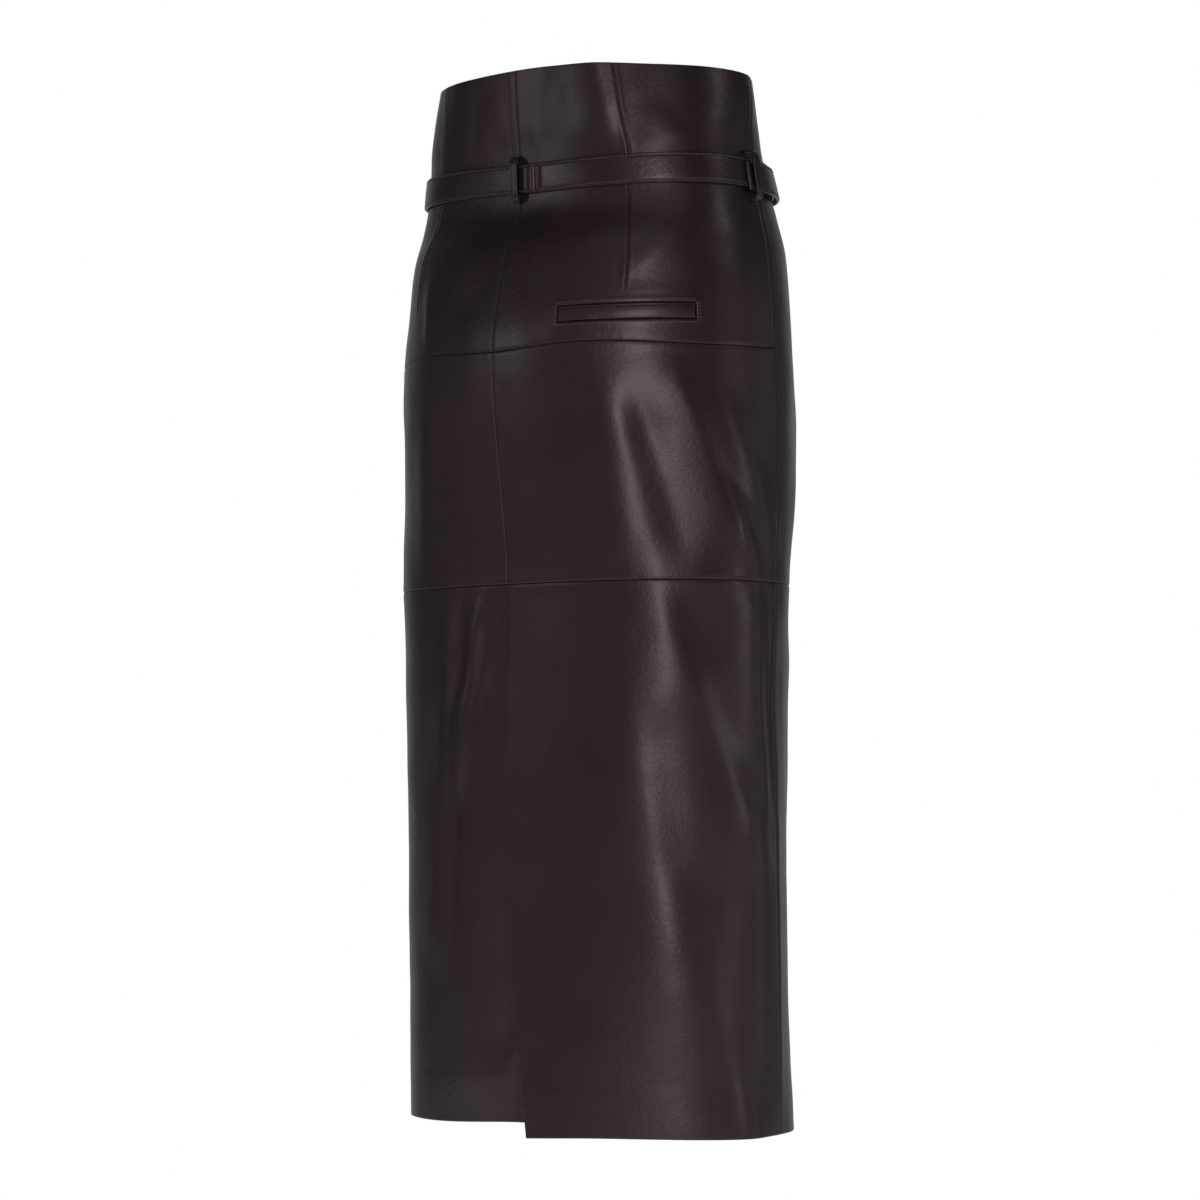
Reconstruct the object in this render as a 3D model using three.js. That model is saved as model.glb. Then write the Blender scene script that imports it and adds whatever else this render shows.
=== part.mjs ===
// Leather midi skirt with its belt, worn on no visible wearer. Millimetres, +Z up.
// The front faces -Y, the back +Y, the wearer's right is -X. The origin is the middle of the waist.
import * as THREE from 'three';

// Driving heights, from the middle of the belt
const topEdgeBack = 90;
const topEdgeDip = 1;
const topEdgeTilt = 4;
const hipSeamHeight = -146.8;
const hipSeamWave = 2;
const thighSeamHeight = -341;
const hemHeight = -792;
const hemTilt = 2;

// Leather and seams
const wall = 2;
const seamGap = 0.34;
const underlapGap = 0.6;

// Sections round the body: half width, depth behind and in front of the axis, how square the back is,
// and the angle from the centre back to station 1 in degrees
const sections = [
  { z: -805, half: 182, back: 98, front: 144, square: 2.3, side: 100 },
  { z: -600, half: 180, back: 99.5, front: 129, square: 2.5, side: 100 },
  { z: -450, half: 182, back: 102, front: 126, square: 2.5, side: 96.5 },
  { z: -340, half: 186, back: 105, front: 127, square: 2.45, side: 96 },
  { z: -260, half: 187, back: 114, front: 135, square: 2.2, side: 97.5 },
  { z: -200, half: 187, back: 122, front: 138, square: 2.1, side: 98 },
  { z: -142, half: 185, back: 124, front: 137, square: 2.05, side: 97 },
  { z: -100, half: 182, back: 117, front: 137, square: 2.1, side: 97 },
  { z: -60, half: 176, back: 106, front: 138, square: 2.25, side: 98 },
  { z: -30, half: 169, back: 91.5, front: 132, square: 2.4, side: 98 },
  { z: 0, half: 164, back: 90, front: 118, square: 2.35, side: 97 },
  { z: 45, half: 160, back: 94, front: 102, square: 2.2, side: 98 },
  { z: 100, half: 148, back: 97.5, front: 104, square: 2.1, side: 103 },
];
const frontSquare = 2.1;

// The side seams lie at this station on each side
const sideSeam = 1;

// Folds of the leather. A station is 0 at the centre back, 1 at the wearer's right side, 2 at the
// centre front and -1 at the left side. A fold runs from a high point through a middle to a low one.
const folds = [
  { high: -150, low: -352, from: 0.46, by: 0.5, to: 0.57, width: 16, height: 3 },
  { high: -168, low: -352, from: 0.54, by: 0.67, to: 0.74, width: 17, height: -3.5 },
  { high: -150, low: -350, from: 0.64, by: 0.74, to: 0.92, width: 17, height: 4.5 },
  { high: -156, low: -335, from: 0.7, by: 0.88, to: 1, width: 15, height: 2.5 },
  { high: -325, low: -600, from: 0.6, by: 0.74, to: 0.95, width: 20, height: 4 },
  { high: -335, low: -520, from: 0.76, by: 0.77, to: 0.85, width: 18, height: -4 },
  { high: -330, low: -840, from: 0.91, by: 0.94, to: 0.87, width: 18, height: 5 },
  { high: -430, low: -820, from: 0.64, by: 0.7, to: 0.8, width: 26, height: -3 },
  { high: -400, low: -820, from: 0.55, by: 0.58, to: 0.9, width: 20, height: 2.5 },
  { high: -335, low: -560, from: -0.13, by: -0.27, to: -0.33, width: 16, height: 5 },
  { high: -340, low: -680, from: -0.34, by: -0.44, to: -0.48, width: 16, height: 4.5 },
  { high: -350, low: -660, from: -0.23, by: -0.37, to: -0.41, width: 14, height: -3 },
  { high: -160, low: -345, from: -0.37, by: -0.44, to: -0.53, width: 17, height: 3.5 },
  { high: -170, low: -330, from: -0.62, by: -0.74, to: -0.9, width: 16, height: -3 },
  { high: -380, low: -720, from: -0.84, by: -0.88, to: -0.9, width: 20, height: 3 },
  { high: -360, low: -700, from: 1.25, by: 1.3, to: 1.36, width: 24, height: 4.5 },
  { high: -350, low: -640, from: 1.62, by: 1.56, to: 1.5, width: 24, height: -4 },
  { high: -370, low: -760, from: 1.86, by: 1.9, to: 1.96, width: 26, height: 4.5 },
  { high: -340, low: -680, from: 2.28, by: 2.22, to: 2.2, width: 24, height: -4 },
  { high: -360, low: -740, from: 2.6, by: 2.66, to: 2.7, width: 24, height: 4.5 },
  { high: -150, low: -330, from: 1.32, by: 1.24, to: 1.16, width: 18, height: 3 },
  { high: -160, low: -320, from: 2.7, by: 2.78, to: 2.86, width: 18, height: 3 },
];

// The back vent: how far its outer edge lies to the right of the centre back, how far the right
// panel swings out there, and how far the left panel turns in below it
const vent = [
  { z: -805, edge: 24, swing: 14, turn: 20 },
  { z: -752, edge: 18, swing: 12, turn: 18 },
  { z: -693, edge: 11, swing: 9, turn: 15 },
  { z: -636, edge: 7.5, swing: 7, turn: 12 },
  { z: -561, edge: 0.5, swing: 4, turn: 9 },
  { z: -462, edge: -2.5, swing: 1.5, turn: 6.5 },
  { z: -380, edge: 0.5, swing: 0.3, turn: 4 },
  { z: -341, edge: 0.3, swing: 0, turn: 2.6 },
];
const swingReach = 75;
const turnReach = 70;
const underlap = 42;
const ventHemDrop = 5;
const ventHemRise = 5;

// Belt, loops, buckle and pocket
const beltWidth = 25;
const beltThick = 2.6;
const beltClear = 0.8;
const beltLayerGap = 0.7;
const beltDrop = 3.5;
const loopWidth = 8;
const loopThick = 1.6;
const loopHalfHeight = 19.5;
const loopSquare = 4;
const buckleWidth = 42;
const buckleHeight = 40;
const buckleBar = 5;
const buckleThick = 3;
const pocketFrom = 0.306;
const pocketTo = 0.735;
const pocketTop = -114.5;
const pocketBottom = -128.5;
const pocketThick = 1.4;
const restGap = 0.3;

const radians = (degrees) => degrees * Math.PI / 180;
const lerp = (a, b, t) => a + (b - a) * t;
const clamp01 = (t) => Math.min(1, Math.max(0, t));
const ease = (t) => clamp01(t) ** 2 * (3 - 2 * clamp01(t));

// A smooth value of one column of a table at a height
function column(table, name, height) {
  const last = table.length - 1;
  const z = Math.min(table[last].z, Math.max(table[0].z, height));
  const next = table.findIndex((row) => row.z > z);
  const k = next < 0 ? last - 1 : Math.max(0, next - 1);
  const slope = (i) => {
    const low = table[Math.max(0, i - 1)];
    const high = table[Math.min(last, i + 1)];
    return (high[name] - low[name]) / (high.z - low.z);
  };
  const span = table[k + 1].z - table[k].z;
  const t = (z - table[k].z) / span;
  return (2 * t ** 3 - 3 * t ** 2 + 1) * table[k][name] + (t ** 3 - 2 * t ** 2 + t) * span * slope(k)
    + (3 * t ** 2 - 2 * t ** 3) * table[k + 1][name] + (t ** 3 - t ** 2) * span * slope(k + 1);
}

// A station brought between -2 and 2
const around = (s) => ((s + 2) % 4 + 4) % 4 - 2;

function stationAngle(s, z) {
  const side = radians(column(sections, 'side', z));
  const near = Math.abs(around(s));
  const angle = near <= 1 ? near * side : side + (near - 1) * (Math.PI - side);
  return Math.sign(around(s)) * angle;
}

function radius(angle, z) {
  const atBack = Math.cos(angle) > 0;
  const depth = column(sections, atBack ? 'back' : 'front', z);
  const power = atBack ? column(sections, 'square', z) : frontSquare;
  const across = Math.abs(Math.sin(angle)) / column(sections, 'half', z);
  return ((Math.abs(Math.cos(angle)) / depth) ** power + across ** power) ** (-1 / power);
}

// How far the leather stands out or in at the folds
function foldRelief(s, z) {
  let relief = 0;
  for (const fold of folds) {
    const t = (fold.high - z) / (fold.high - fold.low);
    if (t <= 0 || t >= 1) continue;
    const line = lerp(lerp(fold.from, fold.by, t), lerp(fold.by, fold.to, t), t);
    const off = around(s - line) * radius(stationAngle(s, z), z) * Math.PI / 2;
    relief += fold.height * Math.exp(-((off / fold.width) ** 2)) * ease(4 * t) * ease(4 * (1 - t));
  }
  return relief;
}

function bodyPoint(s, z, out) {
  const angle = stationAngle(s, z);
  const r = radius(angle, z) + out;
  return new THREE.Vector3(-r * Math.sin(angle), r * Math.cos(angle), z);
}

const skin = (s, z) => bodyPoint(s, z, foldRelief(s, z));

// The centre back is about this long, in millimetres for one station
const centreScale = (z) => column(sections, 'back', z) * radians(column(sections, 'side', z));
const ventEdge = (z) => column(vent, 'edge', z) / centreScale(z);

function rightVentSkin(s, z) {
  const away = Math.max(0, (s - ventEdge(z)) * centreScale(z));
  const swing = column(vent, 'swing', z) * Math.exp(-((away / swingReach) ** 2));
  return bodyPoint(s, z, foldRelief(s, z) + swing);
}

function leftVentSkin(s, z) {
  const before = Math.max(0, (ventEdge(z) - s) * centreScale(z));
  const depth = column(vent, 'turn', z);
  const under = wall + underlapGap;
  const turned = Math.max(0, depth - under) * Math.exp(-((before / turnReach) ** 2));
  const tucked = under * (1 - ease((before - 1) / 14));
  const relief = foldRelief(s, z) * ease(before / 30);
  return bodyPoint(s, z, relief - turned - tucked);
}

// A point moved along the outward normal of a surface
function lifted(surface, s, z, out) {
  const ds = 0.002;
  const dz = 0.5;
  const alongS = surface(s + ds, z).sub(surface(s - ds, z));
  const alongZ = surface(s, z + dz).sub(surface(s, z - dz));
  return surface(s, z).addScaledVector(alongS.cross(alongZ).normalize(), out);
}

const sideways = (s) => Math.sin(around(s) * Math.PI / 2);
const topEdge = (s) => topEdgeBack - (topEdgeDip + topEdgeTilt * sideways(s)) * sideways(s) ** 2;
const hipSeam = (s) => hipSeamHeight - hipSeamWave * Math.cos(around(s) * Math.PI / 0.4);
const thighSeam = () => thighSeamHeight;
const hem = (s) => hemHeight - hemTilt * sideways(s);
const rightHem = (s) => hem(s) - ventHemDrop * Math.exp(-((s / 0.35) ** 2));
const leftHem = (s) => hem(s) + ventHemRise * ease((s + 0.6) / 0.6);

const leather = (name, color) => {
  const material = new THREE.MeshStandardMaterial({ color, roughness: 0.45, metalness: 0 });
  material.name = name;
  return material;
};

// A box whose points are sent somewhere else: u across, v up and w from outside to inside, each 0 to 1
function bentBox(name, across, up, material, place) {
  const geometry = new THREE.BoxGeometry(1, 1, 1, across, up, 1);
  const points = geometry.attributes.position;
  for (let i = 0; i < points.count; i += 1) {
    const at = place(points.getX(i) + 0.5, points.getY(i) + 0.5, 0.5 - points.getZ(i));
    points.setXYZ(i, at.x, at.y, at.z);
  }
  geometry.computeVertexNormals();
  const mesh = new THREE.Mesh(geometry, material);
  mesh.name = name;
  return mesh;
}

// One leather panel between two stations and two heights, in so many cells across and up
function panel(name, { from, to, low, high, surface = skin, across, up }) {
  const inset = (s, z) => seamGap / 2 / (radius(stationAngle(s, z), z) * Math.PI / 2);
  const place = (u, v, w) => {
    const level = lerp(low(0), high(0), v);
    const first = from(level) + inset(from(level), level);
    const s = lerp(first, to(level) - inset(to(level), level), u);
    const z = lerp(low(s) + seamGap / 2, high(s) - seamGap / 2, v);
    return lifted(surface, s, z, -w * wall);
  };
  return bentBox(name, across, up, leather('burgundy_leather', 0x30242a), place);
}

const fixed = (s) => () => s;

function backPanels() {
  const upper = { low: hipSeam, high: topEdge, across: 13, up: 19 };
  const middle = { low: thighSeam, high: hipSeam, across: 18, up: 11 };
  const lower = { high: thighSeam, across: 16, up: 22 };
  const underlapEdge = (z) => ventEdge(z) + underlap / centreScale(z);
  return [
    panel('back_upper_right', { from: fixed(0), to: fixed(sideSeam), ...upper }),
    panel('back_upper_left', { from: fixed(-sideSeam), to: fixed(0), ...upper }),
    panel('back_middle_right', { from: fixed(0), to: fixed(sideSeam), ...middle }),
    panel('back_middle_left', { from: fixed(-sideSeam), to: fixed(0), ...middle }),
    panel('back_lower_right', {
      from: ventEdge, to: fixed(sideSeam), low: rightHem, surface: rightVentSkin, ...lower,
    }),
    panel('back_lower_left', {
      from: fixed(-sideSeam), to: underlapEdge, low: leftHem, surface: leftVentSkin, ...lower, across: 19,
    }),
  ];
}

function frontPanels() {
  const sideToSide = { from: fixed(sideSeam), to: fixed(4 - sideSeam), across: 19, up: 23 };
  return [
    panel('front_upper', { low: thighSeam, high: topEdge, ...sideToSide }),
    panel('front_lower', { low: hem, high: thighSeam, ...sideToSide }),
  ];
}

// Height of the belt's middle, a little higher at the wearer's left
const beltHeight = (s) => -1 - 3 * Math.sin(around(s) * Math.PI / 2) + 1.5 * (1 - Math.cos(around(s) * Math.PI));

// The belt is one strap: from the buckle round the right side, the back and the left side, through
// the buckle and over itself to the right loop, where its free end is tucked in
const frontScale = radius(Math.PI, 0) * (Math.PI - stationAngle(1, 0));
const strapStart = 2 - (buckleWidth / 2 + restGap) / frontScale;
const strapEnd = -3.06;
const strapFirstTurnEnd = -1.93;
function strapClearance(s) {
  const second = beltThick + beltLayerGap + (buckleThick + restGap - beltThick) * ease((s + 2.5) / 0.4);
  return beltClear + second * ease((strapFirstTurnEnd - s) / 0.13);
}

function belt() {
  const segments = 104;
  const place = (u, v, w) => {
    const s = lerp(strapEnd, strapStart, u);
    const lower = beltDrop * ease((-2.1 - s) / 0.7);
    const z = beltHeight(s) - lower + (v - 0.5) * beltWidth;
    return lifted(skin, s, z, strapClearance(s) + (1 - w) * beltThick);
  };
  return bentBox('belt', segments, 2, leather('belt_leather', 0x2e2228), place);
}

// A belt loop: a short strap sewn down above and below the belt, standing off over it as an arch
function beltLoop(name, station, standOff, middle, halfHeight = loopHalfHeight) {
  const place = (u, v, w) => {
    const angle = Math.PI * v;
    const up = Math.abs(Math.cos(angle)) / (halfHeight - w * loopThick);
    const off = Math.sin(angle) / (standOff - w * loopThick);
    const reach = (up ** loopSquare + off ** loopSquare) ** (-1 / loopSquare);
    const z = middle - reach * Math.cos(angle);
    const scale = radius(stationAngle(station, z), z) * radians(column(sections, 'side', z));
    return lifted(skin, station + (u - 0.5) * loopWidth / scale, z, restGap + reach * Math.sin(angle));
  };
  return bentBox(name, 1, 20, leather('belt_leather', 0x2e2228), place);
}

// The front buckle: a plain frame, its free side over the strap and its other side under it
function buckle() {
  const ring = 1;
  const tube = 0.25;
  const geometry = new THREE.TorusGeometry(ring, tube, 4, 36);
  const points = geometry.attributes.position;
  const rounded = (angle, width, height) => {
    const across = Math.abs(Math.cos(angle)) / (width / 2);
    const up = Math.abs(Math.sin(angle)) / (height / 2);
    return (across ** 8 + up ** 8) ** (-1 / 8);
  };
  const under = beltClear + beltThick + 2 * restGap;
  for (let i = 0; i < points.count; i += 1) {
    const angle = Math.atan2(points.getY(i), points.getX(i));
    const off = Math.hypot(points.getX(i), points.getY(i)) - ring;
    const corner = Math.atan2(points.getZ(i), off) + Math.PI / 4;
    const inward = Math.cos(corner) > 0 ? 0 : buckleBar;
    const front = Math.sin(corner) > 0 ? buckleThick : 0;
    const reach = rounded(angle, buckleWidth - 2 * inward, buckleHeight - 2 * inward);
    const x = reach * Math.cos(angle);
    const out = lerp(beltClear, under, ease((x / buckleWidth + 0.35) / 0.7)) + front;
    const at = lifted(skin, 2 + x / frontScale, beltHeight(2) + reach * Math.sin(angle), out);
    points.setXYZ(i, at.x, at.y, at.z);
  }
  geometry.computeVertexNormals();
  const mesh = new THREE.Mesh(geometry, leather('belt_leather', 0x2e2228));
  mesh.name = 'belt_buckle';
  return mesh;
}

// The pocket's welt lies on the right upper back panel
function pocketWelt() {
  const place = (u, v, w) => {
    const s = lerp(pocketFrom, pocketTo, u);
    const z = lerp(pocketBottom, pocketTop, v);
    return lifted(skin, s, z, restGap + (1 - w) * pocketThick);
  };
  return bentBox('pocket_welt', 12, 1, leather('burgundy_leather', 0x30242a), place);
}

const skirt = new THREE.Group();
skirt.add(...backPanels(), ...frontPanels(), belt(), buckle(), pocketWelt());
skirt.add(beltLoop('belt_loop_back', 0, 8.5, -1.5));
skirt.add(beltLoop('belt_loop_right', 0.965, 11, -3.5, loopHalfHeight + 1.5));
skirt.add(beltLoop('belt_loop_left', -0.965, 8, 4));

export default skirt;
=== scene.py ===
"""Leather midi skirt with its belt, in the shape it has when it is worn. Tables and sizes in
millimetres are turned into metres where a mesh is written."""

import math

import bmesh
import bpy
import numpy as np
from mathutils import Matrix, Vector


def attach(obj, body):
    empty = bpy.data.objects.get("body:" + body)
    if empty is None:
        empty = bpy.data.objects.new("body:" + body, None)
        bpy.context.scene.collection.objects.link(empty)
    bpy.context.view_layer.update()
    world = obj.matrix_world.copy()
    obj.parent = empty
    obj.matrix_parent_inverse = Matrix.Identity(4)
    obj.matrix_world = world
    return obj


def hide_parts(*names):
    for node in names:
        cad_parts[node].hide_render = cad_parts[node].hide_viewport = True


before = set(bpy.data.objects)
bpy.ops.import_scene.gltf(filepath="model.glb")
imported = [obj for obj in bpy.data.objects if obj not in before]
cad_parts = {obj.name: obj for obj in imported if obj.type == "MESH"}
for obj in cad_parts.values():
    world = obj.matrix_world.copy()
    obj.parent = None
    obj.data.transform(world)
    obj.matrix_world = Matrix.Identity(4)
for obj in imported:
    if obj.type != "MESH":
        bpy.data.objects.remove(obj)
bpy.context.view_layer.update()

bl_info = {
    "name": "Leather Midi Skirt",
    "version": (1, 0, 0),
    "blender": (4, 5, 0),
    "location": "View3D > Sidebar > Skirt",
    "description": "Builds the panels, belt, pocket, stitching and studio of a leather midi skirt",
    "category": "Object",
}

MM = 0.001


def named_table(names, rows):
    """The columns of a table of numbers, by name."""
    return {name: np.array(values, float) for name, values in zip(names.split(), zip(*rows))}


# Sections round the body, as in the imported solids
SECTIONS = named_table("z half back front square side", [
    (-805, 182, 98, 144, 2.3, 100),
    (-600, 180, 99.5, 129, 2.5, 100),
    (-450, 182, 102, 126, 2.5, 96.5),
    (-340, 186, 105, 127, 2.45, 96),
    (-260, 187, 114, 135, 2.2, 97.5),
    (-200, 187, 122, 138, 2.1, 98),
    (-142, 185, 124, 137, 2.05, 97),
    (-100, 182, 117, 137, 2.1, 97),
    (-60, 176, 106, 138, 2.25, 98),
    (-30, 169, 91.5, 132, 2.4, 98),
    (0, 164, 90, 118, 2.35, 97),
    (45, 160, 94, 102, 2.2, 98),
    (100, 148, 97.5, 104, 2.1, 103),
])
FRONT_SQUARE = 2.1

# Folds and creases of the leather. A station is 0 at the centre back, 1 at the wearer's right side,
# 2 at the centre front and -1 at the left side. Each one runs from a high point through a middle to
# a low one. It rises over one width before its crest and falls over another after it, in
# millimetres, and is sharp where its roundness is low. A negative height makes a trough.
FOLD_COLUMNS = "high low from by to before after height round"
FOLDS = named_table(FOLD_COLUMNS, [
    # Right hip to thigh, drawn from the seat towards the side seam
    (-150, -352, 0.46, 0.50, 0.57, 26, 20, 3.8, 0.35),
    (-168, -352, 0.54, 0.67, 0.74, 18, 40, -7.5, 0.3),
    (-150, -350, 0.64, 0.74, 0.92, 44, 12, 6, 0.25),
    (-250, -350, 0.78, 0.86, 0.95, 24, 9, 3.5, 0.3),
    (-156, -335, 0.70, 0.88, 1.00, 22, 14, 4.4, 0.4),
    # Right thigh to hem
    (-320, -600, 0.59, 0.74, 0.95, 50, 18, 5, 0.3),
    (-330, -520, 0.74, 0.77, 0.84, 24, 26, -2.5, 0.4),
    (-318, -560, 0.90, 0.93, 0.94, 28, 11, 5.5, 0.3),
    (-500, -860, 0.90, 0.89, 0.84, 50, 30, 6, 0.35),
    (-400, -840, 0.55, 0.58, 0.92, 26, 22, 2.6, 0.25),
    (-560, -900, 0.66, 0.71, 0.90, 42, 26, 3.5, 0.3),
    (-430, -800, 0.64, 0.70, 0.80, 20, 40, -3.5, 0.5),
    (-335, -800, 1.00, 1.05, 1.01, 7, 9, 1.2, 0.4),
    # Left thigh to hem
    (-330, -540, -0.15, -0.27, -0.33, 24, 12, 7.5, 0.35),
    (-335, -680, -0.34, -0.42, -0.45, 30, 13, 5, 0.4),
    (-350, -660, -0.23, -0.37, -0.41, 14, 14, -2.2, 0.5),
    (-345, -470, -0.05, -0.05, -0.07, 10, 8, 1.8, 0.5),
    (-400, -800, -0.23, -0.21, -0.21, 50, 32, 7.5, 0.4),
    (-160, -345, -0.37, -0.44, -0.53, 17, 17, 3, 0.6),
    (-170, -330, -0.62, -0.74, -0.9, 16, 16, -2.6, 0.6),
    (-380, -720, -0.84, -0.88, -0.9, 20, 20, 3, 0.6),
    # Front
    (-360, -700, 1.25, 1.3, 1.36, 24, 24, 4.5, 0.6),
    (-350, -640, 1.62, 1.56, 1.5, 24, 24, -4, 0.6),
    (-370, -760, 1.86, 1.9, 1.96, 26, 26, 4.5, 0.6),
    (-340, -680, 2.28, 2.22, 2.2, 24, 24, -4, 0.6),
    (-360, -740, 2.6, 2.66, 2.7, 24, 24, 4.5, 0.6),
    (-150, -330, 1.32, 1.24, 1.16, 18, 18, 3, 0.6),
    (-160, -320, 2.7, 2.78, 2.86, 18, 18, 3, 0.6),
    # Waist above the belt
    (140, 0, 0.30, 0.48, 0.51, 34, 18, 5, 0.4),
    (140, 0, 0.56, 0.67, 0.65, 26, 34, -6, 0.5),
    (140, 40, 0.75, 0.92, 1.07, 34, 26, 6, 0.4),
    (60, 0, 0.61, 0.66, 0.83, 14, 12, 3, 0.5),
    (120, 0, -0.24, -0.28, -0.35, 16, 16, -1.2, 0.6),
    (110, 0, -0.62, -0.66, -0.72, 14, 14, 1.2, 0.6),
    (110, 0, 1.30, 1.36, 1.44, 18, 18, 1.2, 0.6),
    (110, 0, 1.70, 1.66, 1.60, 18, 18, -1.2, 0.6),
    (110, 0, 2.32, 2.36, 2.42, 18, 18, 1.2, 0.6),
    # Seat below the belt
    (-38, -100, 0.79, 0.66, 0.49, 14, 10, 1.5, 0.4),
    (-22, -70, 1.00, 0.90, 0.79, 14, 14, 0.9, 0.6),
    (-18, -112, -0.19, -0.28, -0.29, 18, 18, 1, 0.6),
    (-70, -146, -0.48, -0.43, -0.39, 9, 9, 2, 0.4),
    (-60, -140, -0.78, -0.70, -0.62, 12, 12, -1.2, 0.6),
    (-18, -110, 1.26, 1.34, 1.40, 18, 18, 1.1, 0.6),
    (-18, -100, 2.72, 2.66, 2.60, 18, 18, 1.1, 0.6),
    (-30, -140, 1.80, 1.84, 1.86, 20, 20, -1.0, 0.6),
    # Soft creases
    (-352, -560, 0.25, 0.29, 0.30, 20, 20, 0.8, 0.6),
    (-400, -480, 0.37, 0.35, 0.33, 9, 9, 0.5, 0.5),
    (-520, -760, 0.35, 0.34, 0.37, 26, 20, -1, 0.6),
    (-700, -745, 0.14, 0.25, 0.35, 14, 14, 0.7, 0.5),
    (-560, -740, -0.66, -0.70, -0.74, 20, 20, 1.2, 0.6),
    (-700, -760, 0.04, -0.05, -0.14, 14, 14, 1.6, 0.4),
    (-170, -330, 1.62, 1.66, 1.72, 20, 20, 1.2, 0.6),
    (-170, -330, 2.34, 2.30, 2.26, 20, 20, -1.2, 0.6),
    (-520, -770, 1.62, 1.66, 1.70, 22, 22, 1.2, 0.6),
    (-520, -770, 2.42, 2.40, 2.36, 22, 22, 1.2, 0.6),
])
STATION_LENGTH = 262
FOLD_STEPS = 8
FOLD_FADE = 60
FOLD_REACH = 4

# The back vent: how far its outer edge lies to the right of the centre back, how far the right
# panel swings out there and how far the left panel turns in below it
VENT = named_table("z edge swing turn", [
    (-805, 24, 14, 20),
    (-752, 18, 12, 18),
    (-693, 11, 9, 15),
    (-636, 7.5, 7, 12),
    (-561, 0.5, 4, 9),
    (-462, -2.5, 1.5, 6.5),
    (-380, 0.5, 0.3, 4),
    (-341, 0.3, 0, 2.6),
])
SWING_REACH = 75
TURN_REACH = 70
UNDERLAP = 42
VENT_HEM_DROP = 5
VENT_HEM_RISE = 5
UNDERLAP_GAP = 0.6

# Darts, from the top edge down to their points
RIGHT_DART = named_table("z at", [
    (-106, 0.537), (-89, 0.545), (-59, 0.551), (-16, 0.567), (13, 0.570), (31, 0.555), (59, 0.523), (90,
                                                                                                     0.487),
])
LEFT_DART = named_table("z at", [
    (-106, -0.537), (-59, -0.548), (-16, -0.560), (13, -0.565), (31, -0.552), (59, -0.534), (90, -0.520),
])
FRONT_DART = named_table("z at", [
    (-96, 0.46), (-40, 0.452), (13, 0.445), (90, 0.430),
])

# Other sizes
SIDE_SEAM = 1
TOP_EDGE_BACK = 90
HIP_SEAM = -146.8
THIGH_SEAM = -341
HEM = -792
BELT_CLEAR = 0.8
BELT_LAYER_GAP = 0.7
BELT_DROP = 3.5
STRAP_END = -3.06
FIRST_TURN_END = -1.93
REST_GAP = 0.3
POCKET = (0.306, 0.735)
POCKET_HEIGHTS = (-128.5, -114.5)
BUCKLE = (42, 40)
BUCKLE_BAR = 5
BUCKLE_THICK = 3
LOOP_SQUARE = 4
BELT_JOIN = 0.125
EDGE_STEPS = (0, 0.15, 0.4, 0.75, 1.2, 1.9, 3, 4.6, 7)


def lerp(a, b, t):
    return a + (b - a) * t


def ease(t):
    """A soft step from 0 to 1."""
    t = np.clip(t, 0, 1)
    return t * t * (3 - 2 * t)


def bump(offset, width):
    """A soft hill, 1 where the offset is 0."""
    return np.exp(-((offset / width) ** 2))


def column(table, name, height):
    """A smooth value of one column of a table at each height."""
    heights = table["z"]
    values = table[name]
    last = len(heights) - 1
    z = np.clip(height, heights[0], heights[-1])
    k = np.clip(np.searchsorted(heights, z, side="right") - 1, 0, last - 1)
    low = np.maximum(np.arange(last + 1) - 1, 0)
    high = np.minimum(np.arange(last + 1) + 1, last)
    slopes = (values[high] - values[low]) / (heights[high] - heights[low])
    span = heights[k + 1] - heights[k]
    t = (z - heights[k]) / span
    start = (2 * t**3 - 3 * t**2 + 1) * values[k] + (t**3 - 2 * t**2 + t) * span * slopes[k]
    end = (3 * t**2 - 2 * t**3) * values[k + 1] + (t**3 - t**2) * span * slopes[k + 1]
    return start + end


def around(s):
    """A station brought between -2 and 2."""
    return (s + 2) % 4 - 2


def station_angle(s, z):
    side = np.radians(column(SECTIONS, "side", z))
    near = np.abs(around(s))
    angle = np.where(near <= 1, near * side, side + (near - 1) * (math.pi - side))
    return np.sign(around(s)) * angle


def radius(angle, z):
    at_back = np.cos(angle) > 0
    depth = np.where(at_back, column(SECTIONS, "back", z), column(SECTIONS, "front", z))
    power = np.where(at_back, column(SECTIONS, "square", z), FRONT_SQUARE)
    across = np.abs(np.sin(angle)) / column(SECTIONS, "half", z)
    return ((np.abs(np.cos(angle)) / depth) ** power + across**power) ** (-1 / power)


def girth(s, z):
    """Millimetres of leather for one station."""
    side = np.radians(column(SECTIONS, "side", z))
    angle = np.where(np.abs(around(s)) <= 1, side, math.pi - side)
    return radius(station_angle(s, z), z) * angle


def crest(off, before, after, roundness):
    """A fold's profile: flat flanks that meet at a rounded crest, 1 where the offset is 0."""
    off = np.abs(off) / np.where(off < 0, before, after)
    rest = 1 - np.sqrt(off**2 + roundness**2) + roundness * 0.5
    return 0.5 * (rest + np.sqrt(rest**2 + roundness**2)) * ease((FOLD_REACH - off) / 2)


def fold_line(fold):
    """Points along a fold, in millimetres."""
    high, low = fold["high"], fold["low"]
    first, middle, last = np.array([
        (fold["from"] * STATION_LENGTH, high),
        (fold["by"] * STATION_LENGTH, (high + low) / 2),
        (fold["to"] * STATION_LENGTH, low),
    ])
    share = np.linspace(0, 1, FOLD_STEPS + 1)[:, None]
    return lerp(lerp(first, middle, share), lerp(middle, last, share), share)


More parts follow.
